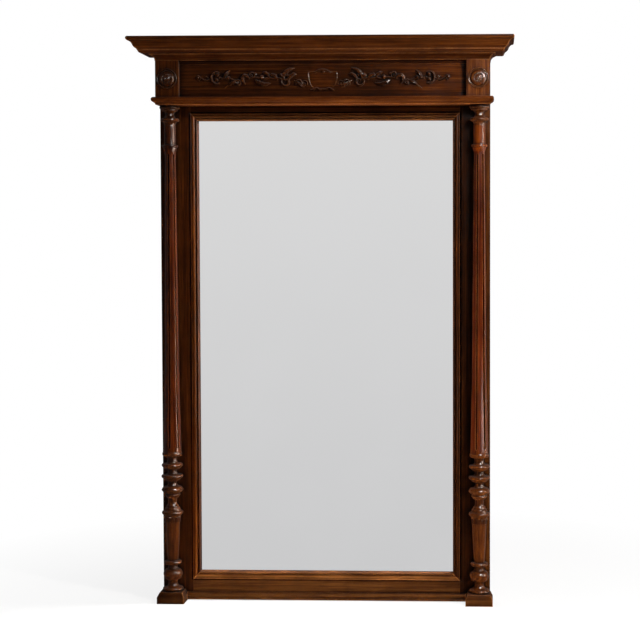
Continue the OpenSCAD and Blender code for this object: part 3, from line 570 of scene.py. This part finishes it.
def turned_rosette(name, node, material):
    """A rosette on the face of its block, with the ring of dots raised on the turned outline."""
    outline = [Vector(ROSETTE[0][:2])]
    for before, row in zip(ROSETTE, ROSETTE[1:]):
        outline += arc(before[:2], row[:2], row[2])[1:]
    points, faces = lathe(soften(outline, 0.3), lambda radius, height: ROSETTE_TURNS)
    step = 2 * math.pi / DOTS
    raised = []
    for x, y, height in points:
        radius = math.hypot(x, y)
        away = (math.atan2(y, x) + step / 2) % step - step / 2
        far = math.hypot(radius * math.sin(away), radius * math.cos(away) - DOT_RING)
        if far < DOT_R:
            height = max(height, DOT_FOOT + math.sqrt(DOT_R * DOT_R - far * far))
        raised.append((x, y, height))
    low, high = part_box(node)
    mid_x, mid_z = (low[0] + high[0]) / 2, (low[2] + high[2]) / 2
    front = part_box("frieze_block_right")[0][1]
    placed = [(mid_x + x * MM, front - h * MM, mid_z + z * MM) for x, z, h in raised]
    build(name, placed, faces, material, node)


# The carving is a field of heights over the right half of the frieze board, in millimetres from its middle. Paths
# are drawn in it by their control points, with half widths and heights from end to end.
STEP, FIELD_W, FIELD_H = 0.75, 400.0, 44.0
# The least height of what is carved, in millimetres, and the points between two control points and in a scroll.
LEAST_RELIEF, CURVE_POINTS, SCROLL_POINTS = 0.8, 12, 14
# A scroll winds in to this share of its radius. A carved leaf's lobes take this share of its width.
SCROLL_END, LOBE = 0.42, 0.28
across = np.arange(0.0, FIELD_W, STEP)
upward = np.arange(-FIELD_H, FIELD_H + STEP, STEP)
grid_x, grid_z = np.meshgrid(across, upward)
field = np.zeros_like(grid_x)


def curve(path):
    """A smooth path through control points, as an array of closely set points."""
    ends = np.array([path[0], *path, path[-1]], float)
    points = []
    for a, b, c, d in zip(ends, ends[1:], ends[2:], ends[3:]):
        square, cube = 2 * a - 5 * b + 4 * c - d, 3 * b - a - 3 * c + d
        for t in np.linspace(0, 1, CURVE_POINTS, endpoint=False):
            points.append(0.5 * (2 * b + (c - a) * t + square * t ** 2 + cube * t ** 3))
    return np.array([*points, ends[-1]])


def carve(path, widths, heights, lobes=0):
    """Raises the field along a path: a round stem, or a leaf with a vein and lobes where lobes are given."""
    line = curve(path)
    share = np.linspace(0, 1, len(line))
    half = np.interp(share, np.linspace(0, 1, len(widths)), widths)
    tall = np.interp(share, np.linspace(0, 1, len(heights)), heights)
    reach = half.max() + 1
    low, high = line.min(axis=0) - reach, line.max(axis=0) + reach
    window = np.ix_((upward > low[1]) & (upward < high[1]), (across > low[0]) & (across < high[0]))
    x, z = grid_x[window], grid_z[window]
    far = np.hypot(x[..., None] - line[:, 0], z[..., None] - line[:, 1])
    near = far.argmin(axis=2)
    away = far.min(axis=2)
    along, wide, high = share[near], half[near], tall[near]
    if lobes:
        wave = np.abs(np.sin(math.pi * lobes * (along + 0.10 * away / np.maximum(wide, 0.1))))
        wide = wide * (1 - LOBE + LOBE * wave)
    side = np.clip(away / np.maximum(wide, 0.01), 0, 1)
    body = np.sqrt(1 - side ** 2)
    if lobes:
        vein, folds = 1.3 * np.exp(-(away / 0.8) ** 2), 1.1 * (1 - wave) ** 3 * side
        body = high * (0.55 + 0.45 * body) - vein - folds
    else:
        body = high * body
    field[window] = np.maximum(field[window], np.where(side < 1, np.maximum(body, LEAST_RELIEF), 0.0))


def volute(x, z, radius, first, sweep, width, height, eye=0.0):
    """A scroll that winds in towards its eye, given by angles in degrees."""
    turns = np.radians(np.linspace(first, first + sweep, SCROLL_POINTS))
    radii = np.linspace(radius, SCROLL_END * radius, SCROLL_POINTS)
    path = [(x + r * math.cos(a), z + r * math.sin(a)) for r, a in zip(radii, turns)]
    carve(path, (width * 0.6, width, width, width * 0.8), (height * 0.7, height, height * 0.9))
    if eye:
        ball(x, z, eye, height * 1.1)


def ball(x, z, radius, height):
    """Raises the field to a round berry or knop."""
    far = np.hypot(grid_x - x, grid_z - z) / radius
    field[:] = np.maximum(field, np.where(far < 1, height * np.sqrt(np.maximum(0, 1 - far ** 2)), 0))


# The cartouche: a plain field in a thin rim, with a scroll and a knop on top and leaves below.
RIM = (0.8, 1.1, 1.3, 0.9, 1.4, 0.9)
carve([(31, 22), (42, 21), (44, 9), (42, -5), (37, -19), (27, -28)], RIM, RIM)
carve([(0, 27), (12, 26), (22, 21), (32, 22)], (4.2, 3.2, 2.2, 1.2), (7, 5.6, 4, 1.6))
carve([(0, -31), (9, -33), (19, -28), (29, -33), (37, -34)], (2.0, 3.0, 2.2, 3.2, 1.2), (4, 6, 4.2, 6, 3))
ball(0, 24, 6.5, 5.5)
# The garland, from the cartouche out to its tail. The left half is its mirror image.
volute(56, -14, 9.0, 200, -330, 2.4, 4.4, 2.4)
volute(72, -13, 11.5, -20, 330, 2.6, 6.2)
carve([(58, -24), (66, -20), (75, -13), (88, -5)], (1.4, 4.6, 4.6, 1.0), (3, 7.0, 7.0, 3), 4)
volute(113, -9, 14.5, 30, -330, 2.9, 7.2)
carve([(121, 0), (119, 14), (106, 27), (88, 33)], (3, 6.4, 5.6, 1.0), (5, 8, 7.6, 5), 4)
carve([(108, -4), (101, 6), (91, 14), (82, 14)], (2.6, 5.2, 5.0, 1.6), (5, 7.6, 7.8, 5), 3)
carve([(118, -2), (134, 2), (150, 1), (166, 3), (180, 0), (200, 4), (222, 3)], (2.6, 3, 3, 3, 3), (5, 5.6, 5, 5.6, 5))
carve([(140, -2), (146, 8), (156, 12), (164, 8)], (2, 5.6, 5.4, 1.2), (5, 7.6, 7.2, 5), 3)
carve([(164, 2), (168, 12), (175, 18), (184, 21)], (2.2, 4.6, 4.4, 1.0), (5, 7.4, 7.0, 4), 3)
carve([(206, -4), (196, -11), (180, -16), (160, -13)], (2.4, 6.2, 6.2, 1.0), (5, 8, 7, 4.6), 4)
ball(127, 10.5, 6.6, 8.6)
ball(109, 11, 4.0, 6)
ball(188, 5, 6.8, 9)
volute(219, 12, 9.5, 215, -330, 2.5, 6.8, 3.0)
ball(209, 15, 4.4, 6.8)
carve([(226, 1), (232, 8), (241, 10), (247, 4), (246, -6), (239, -16)],
      (2, 5, 6, 5.8, 4.2, 1.0), (5, 8.2, 9, 8.8, 7, 4), 5)
carve([(248, 0), (258, -6), (272, -4), (290, 2), (312, 2)], (2.2, 3, 2.8, 2.8, 2.6), (5, 5.6, 5, 5.4, 5))
volute(260, -11, 9.0, 60, 330, 2.6, 7.2, 4.2)
carve([(268, -8), (276, -10), (284, -14), (290, -19)], (2.6, 5.4, 4.6, 1.4), (6, 8.6, 7, 3), 3)
carve([(286, -15), (296, -22), (304, -29)], (1.1, 1.2, 0.6), (2.0, 1.4, 0.8))
carve([(304, 3), (300, 12), (295, 18), (287, 26)], (2.4, 5.2, 4.8, 0.8), (5, 7.6, 7.4, 4), 3)
ball(291, 3, 6.2, 8.8)
carve([(320, 20), (331, 21), (340, 15), (343, 4), (339, -8), (329, -14), (320, -12)],
      (1.6, 2.4, 2.6, 2.6, 2.6, 2.2, 1.4), (5, 7, 8, 8.4, 8, 7, 5))
ball(326, 13.5, 6.0, 9)
ball(327, -2, 5.0, 7.6)
ball(318, 4, 3.6, 6)
carve([(343, 4), (350, -1), (360, -4), (371, 0), (378, 6)], (2.4, 2.0, 2.2, 2.0, 1.6), (5, 4, 4.4, 4.4, 5))
carve([(352, 0), (356, 6), (363, 9)], (1.4, 2.4, 0.8), (3, 4.6, 2.4), 2)
volute(385, 4, 8.0, 250, -270, 2.2, 6.4, 5.0)


# The drawn heights are multiplied by the first number. Those left under the second are cut off, and the mesh is let
# into the board by the third, both in millimetres.
BOLDNESS, FAINTEST, LET_IN = 1.3, 0.25, 0.4


def carved_frieze(name, node, material):
    """Turns the field into a closed mesh on the frieze board, doubled to the left."""
    heights = field * BOLDNESS
    for _ in range(2):
        wide = np.pad(heights, 1, mode="edge")
        heights = (4 * heights + wide[:-2, 1:-1] + wide[2:, 1:-1] + wide[1:-1, :-2] + wide[1:-1, 2:]) / 8
    heights[heights < FAINTEST] = 0.0
    heights = np.concatenate([heights[:, :0:-1], heights], axis=1)
    places = np.concatenate([-across[:0:-1], across])
    low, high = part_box("frieze_board")
    mid_z = (low[2] + high[2]) / 2
    solid = np.maximum.reduce([heights[:-1, :-1], heights[1:, :-1], heights[:-1, 1:], heights[1:, 1:]]) > 0
    points, faces, numbers = [], [], {}

    def corner(i, j, back):
        key = (i, j, back)
        if key not in numbers:
            numbers[key] = len(points)
            y = low[1] + (LET_IN if back else -heights[i, j]) * MM
            points.append((places[j] * MM, y, mid_z + upward[i] * MM))
        return numbers[key]

    for i, j in zip(*np.nonzero(solid)):
        square = [(i, j), (i, j + 1), (i + 1, j + 1), (i + 1, j)]
        faces.append(tuple(corner(*c, False) for c in square))
        faces.append(tuple(corner(*c, True) for c in reversed(square)))
        beside = [(i - 1, j), (i, j + 1), (i + 1, j), (i, j - 1)]
        for side, (m, n) in enumerate(beside):
            if not (0 <= m < solid.shape[0] and 0 <= n < solid.shape[1] and solid[m, n]):
                a, b = square[side], square[(side + 1) % 4]
                faces.append((corner(*b, False), corner(*a, False), corner(*a, True), corner(*b, True)))
    build(name, points, faces, material, node)


def strip(name, section, half, material):
    """A straight bar along X with a section given by depth and height, closed at both ends."""
    points = [(x, y, z) for x in (-half, half) for y, z in section]
    n = len(section)
    faces = [(i, (i + 1) % n, n + (i + 1) % n, n + i) for i in range(n)]
    faces += [tuple(reversed(range(n))), tuple(range(n, 2 * n))]
    build(name, points, faces, material)


# ---------------------------------------------------------------- the pieces

# Each oak node's grain direction, tone, wear and edge rounding in millimetres. The tone holds painted light and shade
# besides the wood's own tone. The plinths, columns, blocks and rosettes are lighter on the right and darker on the
# left as the light falls. The right stile is darkened by the column's painted shadow, and the top rail under the shelf
# by painted shade. The sight mouldings are lighter at the left and bottom and darker at the right as they face the
# light or not. Nodes that another piece stands for have none.
WOOD = {
    "left_stile": ("Z", 0.54, 0.3, 1.0),
    "right_stile": ("Z", 0.22, 0.3, 1.0),
    "top_rail": ("X", 0.43, 0.3, 0.8),
    "bottom_rail": ("X", 0.84, 0.4, 0.8),
    "sight_moulding_left": ("Z", 1.35, 0.05, 0.4),
    "sight_moulding_right": ("Z", 0.45, 0.7, 0.4),
    "sight_moulding_top": ("X", 1.12, 0.9, 0.4),
    "sight_moulding_bottom": ("X", 1.75, 0.9, 0.4),
    "base_ledge": ("X", 1.15, 1.2, 0.6),
    "plinth_left": ("X", 0.5, 1.4, 1.2),
    "plinth_right": ("X", 1.15, 1.4, 1.2),
    "column_left": ("Z", 0.55, 0.45, 0),
    "column_right": ("Z", 1.08, 0.6, 0),
    "shelf_board": ("X", 1.25, 1.2, 0.7),
    "frieze_board": ("X", 0.49, 0.2, 0.5),
    "frieze_carving": ("X", 0.58, 0.25, 0),
    "frieze_block_left": ("Z", 0.66, 0.15, 0.8),
    "frieze_block_right": ("Z", 1.12, 0.3, 0.8),
    "rosette_left": ("Z", 0.5, 0.15, 0),
    "rosette_right": ("Z", 0.95, 0.3, 0),
    "bed_mould_front": ("X", 0.7, 1.2, 0.4),
    "bed_mould_left": ("Y", 0.65, 0.9, 0.4),
    "bed_mould_right": ("Y", 0.65, 0.9, 0.4),
    "corona_board": ("X", 0.86, 1.2, 0.5),
    "crown_front": ("X", 0.64, 1.1, 0.7),
    "crown_left": ("Y", 0.64, 1.1, 0.7),
    "crown_right": ("Y", 0.64, 1.1, 0.7),
}
# Each pine node's grain direction.
PINE = {
    "tenon_pegs": "Y",
    "glass_blocks": "Z",
    "backboard_lower": "X",
    "backboard_middle": "X",
    "backboard_upper": "X",
    "column_dowels": "Z",
    "cornice_back_rail": "X",
    "cornice_blocks": "X",
    "dust_board": "X",
}

# Stains and painted light and shade, in metres. Stains: the long shafts are redder, the tops of the plinths and the
# lower part of the left stile darker, and the middle of the frieze, behind the cartouche, lighter and more orange. The
# collars are darkened as grime and painted shade, and the sight mouldings' edges beside the glass as dark joints and
# painted shade. Painted shade darkens the left half of the corona and the shelf and the left neck. Painted light
# lightens the right neck, the frieze's right end and the outer strip of the right stile.
SHAFT_RED = ("Z", SHAFT_Z * MM, HEAD_Z * MM, 0.02)
NECK = ("Z", 1.400, 1.490, 0.01)
# The collar's band is darkened as grime and painted shade among the leaves.
COLLAR = ("Z", (COLLAR_Z - 1) * MM, (COLLAR_Z + LEAF_H) * MM, 0.004, (0.40, 0.34, 0.30))
PLINTH_TOP = ("Z", 0.0190, 0.0500, 0.003, (0.60, 0.54, 0.48))
STAINS_AND_LIGHT = {
    # The necks: the right column's is lightened as painted light, and the left one's darkened as painted shade.
    "column_left": ((*SHAFT_RED, (1.22, 0.78, 0.42)), COLLAR, (*NECK, (0.85, 0.66, 0.45))),
    "column_right": ((*SHAFT_RED, (0.88, 0.50, 0.30)), COLLAR, (*NECK, (1.50, 1.15, 0.60))),
    "plinth_left": (PLINTH_TOP,),
    "plinth_right": (PLINTH_TOP,),
    # The sight mouldings' edges beside the glass are darkened as dark joints and painted shade.
    "sight_moulding_left": (("X", -0.4040, -0.3900, 0.002, (0.22, 0.20, 0.18)),),
    "sight_moulding_bottom": (("Z", 0.0830, 0.1000, 0.002, (0.30, 0.28, 0.25)),),
    "left_stile": (("Z", -0.30, 0.62, 0.25, (0.74, 0.76, 0.90)),),
    # Painted light lightens the outer strip of the right stile, beside its column.
    "right_stile": (("X", 0.494, 0.60, 0.006, (3.4, 3.6, 3.6)),),
    # Painted light lightens the frieze towards its right end; its middle, behind the cartouche, is lighter and more
    # orange.
    "frieze_board": (("X", 0.16, 0.60, 0.20, (1.9, 1.8, 1.5)), ("X", -0.042, 0.042, 0.022, (1.55, 1.45, 1.10))),
    # Painted shade darkens the left half of the corona and the shelf.
    "corona_board": (("X", -0.80, 0.00, 0.30, (0.50, 0.40, 0.36)),),
    "shelf_board": (("X", -0.80, 0.00, 0.30, (0.80, 0.76, 0.70)),),
}
# Nodes whose stain has turned golden, with grime and painted shade that reach far, that are turned or carved, and of
# steel.
FADED = ("bottom_rail", "base_ledge", "sight_moulding_bottom", "sight_moulding_top", "plinth_left", "plinth_right")
FAR_GRIME_AND_SHADE = ("column_left", "column_right", "frieze_board", "frieze_block_left", "frieze_block_right")
CARVED = ("column_left", "column_right", "frieze_carving", "rosette_left", "rosette_right")
STEEL_NODES = ("backboard_screws", "hanging_plate_left", "hanging_plate_right", "hanging_plate_screws")
# How golden the faded nodes are, how far grime and painted shade reach, in metres, and the rounding of pine and steel
# in millimetres.
FADING, GRIME_AND_SHADE_FAR, GRIME_AND_SHADE_NEAR = 0.32, 0.020, 0.009
PINE_ROUNDING, STEEL_ROUNDING = 0.5, 0.25
PINE_SEED = 500

oaks = {}
for number, (name, (axis, tone_and_light, worn, rounding)) in enumerate(sorted(WOOD.items())):
    depth = GRIME_AND_SHADE_FAR if name in FAR_GRIME_AND_SHADE else GRIME_AND_SHADE_NEAR
    faded = FADING if name in FADED else 0.0
    oaks[name] = oak("oak_" + name, axis, tone_and_light, number, worn, name in CARVED, depth, faded, STAINS_AND_LIGHT.get(name, ()))
    dress(nodes[name], oaks[name], rounding * MM)
for number, (name, axis) in enumerate(sorted(PINE.items())):
    dress(nodes[name], pine("pine_" + name, axis, PINE_SEED + number), PINE_ROUNDING * MM)
dull_steel = steel("dull_steel")
for name in STEEL_NODES:
    dress(nodes[name], dull_steel, STEEL_ROUNDING * MM)
dress(nodes["mirror_glass"], looking_glass("looking_glass"))

# The flutes of each column are turned as the photo shows them.
turned_column(-1, "column_left_turned", "column_left", oaks["column_left"], -86)
turned_column(1, "column_right_turned", "column_right", oaks["column_right"], -109.5)
turned_rosette("rosette_left_turned", "rosette_left", oaks["rosette_left"])
turned_rosette("rosette_right_turned", "rosette_right", oaks["rosette_right"])
carved_frieze("garland_carved", "frieze_carving", oaks["frieze_carving"])

# A small moulded strip closes the corner between the frieze board and the bed mould, from block to block. Its
# section is drawn from that corner.
STRIP = (
    (0.5, 0), (-5.5, 0), (-6.5, -1.2), (-6.5, -3.4), (-3.6, -4.4), (-3.2, -8.4), (-1.2, -9.4), (-0.8, -11.6),
    (0.5, -12),
)
strip_y, strip_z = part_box("frieze_board")[0][1] / MM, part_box("bed_mould_front")[0][2] / MM
strip("frieze_strip", [((strip_y + y) * MM, (strip_z + z) * MM) for y, z in STRIP],
      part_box("frieze_block_right")[0][0], oaks["frieze_board"])

# ---------------------------------------------------------------- stage

# Strength of the world's fill light, and in metres half the floor's width and the distances from its middle between
# which its shadow fades into white.
FILL, FLOOR_HALF, FADE_FROM, FADE_TO = 0.11, 4.0, 0.5, 1.6


def mirrored(tree, path):
    """Whether a ray comes from a reflection or through glass."""
    return tree.math("MAXIMUM", path.outputs["Is Glossy Ray"], path.outputs["Is Transmission Ray"])


def pale_floor():
    """A plain pale floor that keeps the object's shadow near it and fades into the white ground."""
    mesh = bpy.data.meshes.new("floor")
    shape = bmesh.new()
    bmesh.ops.create_grid(shape, x_segments=24, y_segments=24, size=FLOOR_HALF)
    shape.to_mesh(mesh)
    shape.free()
    floor = bpy.data.objects.new("floor", mesh)
    bpy.context.scene.collection.objects.link(floor)
    tree = Tree(bpy.data.materials.new("floor_white"))
    place = tree.add("TexCoord").outputs["Object"]
    mottle = tree.span(tree.noise(place, 3.0, 2.0), 0.3, 0.7)
    paper = tree.add("BsdfDiffuse", Color=tree.mix(mottle, (0.90, 0.90, 0.90), (0.93, 0.93, 0.93)))
    glow = tree.add("Emission", Color=(1.0, 1.0, 1.0, 1.0), Strength=1.0)
    path = tree.add("LightPath")
    reach = tree.add("VectorMath", {"operation": "LENGTH"})
    tree.put(reach, 0, place)
    far = tree.span(reach.outputs["Value"], FADE_FROM, FADE_TO, 0.80, 1.0)
    seen = tree.math("MULTIPLY", path.outputs["Is Camera Ray"], far)
    mesh.materials.append(tree.close(tree.between(tree.math("MAXIMUM", seen, mirrored(tree, path)), paper, glow)))


def white_world():
    """A world that is white to the camera and in reflections, and lights the rest with a soft fill."""
    tree = Tree(bpy.data.worlds.new("studio"), "World")
    white = tree.add("Background", Color=(1.0, 1.0, 1.0, 1.0), Strength=1.0)
    fill = tree.add("Background", Color=(1.0, 0.985, 0.96, 1.0), Strength=FILL)
    path = tree.add("LightPath")
    seen = tree.math("MAXIMUM", path.outputs["Is Camera Ray"], mirrored(tree, path))
    bpy.context.scene.world = tree.close(tree.between(seen, fill, white))


def lamp(name, place, target, size, watts, colour=(1.0, 1.0, 1.0), glossy_only=False):
    """A soft lamp aimed at a target. One that is glossy only adds highlights to the wax and lights no colour."""
    light = bpy.data.lights.new(name, "AREA")
    light.shape = "RECTANGLE"
    light.size, light.size_y = size
    light.energy = watts
    light.color = colour
    obj = bpy.data.objects.new(name, light)
    obj.location = place
    obj.rotation_mode = "QUATERNION"
    obj.rotation_quaternion = (Vector(target) - Vector(place)).to_track_quat("-Z", "Y")
    obj.visible_diffuse = not glossy_only
    bpy.context.scene.collection.objects.link(obj)


pale_floor()
white_world()
lamp("key", (1.4, -1.2, 2.2), (0.2, 0.0, 1.1), (0.16, 0.24), 52, (1.0, 0.97, 0.93))
lamp("low_key", (1.6, -1.2, 0.4), (0.2, 0.0, 0.3), (0.3, 0.3), 32, (1.0, 0.97, 0.93))
lamp("sheen", (1.6, -1.9, 2.3), (0.1, 0.0, 1.0), (0.5, 0.7), 2900, (1.0, 0.96, 0.92), glossy_only=True)
lamp("rim", (2.5, -0.4, 0.9), (0.3, 0.0, 0.9), (0.3, 1.8), 800, (1.0, 0.84, 0.70), glossy_only=True)
lamp("left_fill", (-2.2, -2.6, 1.7), (-0.2, 0.0, 0.9), (0.9, 1.2), 1.5, (0.97, 0.98, 1.0))
lamp("back_fill", (-1.2, 3.0, 2.6), (0.0, 0.0, 1.0), (2.0, 1.6), 50)

# ---------------------------------------------------------------- camera

YAW, PITCH, ROLL = math.radians(1.8955), math.radians(-2.1079), math.radians(-0.0272)
# The camera stands a little right of the middle, looks almost level, and has a shifted lens.
camera_data = bpy.data.cameras.new("camera")
camera_data.sensor_width = 36.0
camera_data.lens = 80.0
camera_data.shift_x, camera_data.shift_y = -0.20, -0.06
camera_data.clip_start, camera_data.clip_end = 0.05, 60.0
camera = bpy.data.objects.new("camera", camera_data)
camera.location = (0.5291, -4.3612, 1.1661)
camera.rotation_mode = "QUATERNION"
aim = Matrix.Rotation(YAW, 3, "Z") @ Matrix.Rotation(math.pi / 2 + PITCH, 3, "X") @ Matrix.Rotation(ROLL, 3, "Z")
camera.rotation_quaternion = aim.to_quaternion()
bpy.context.scene.collection.objects.link(camera)
bpy.context.scene.camera = camera
bpy.context.scene.view_settings.view_transform = "Standard"
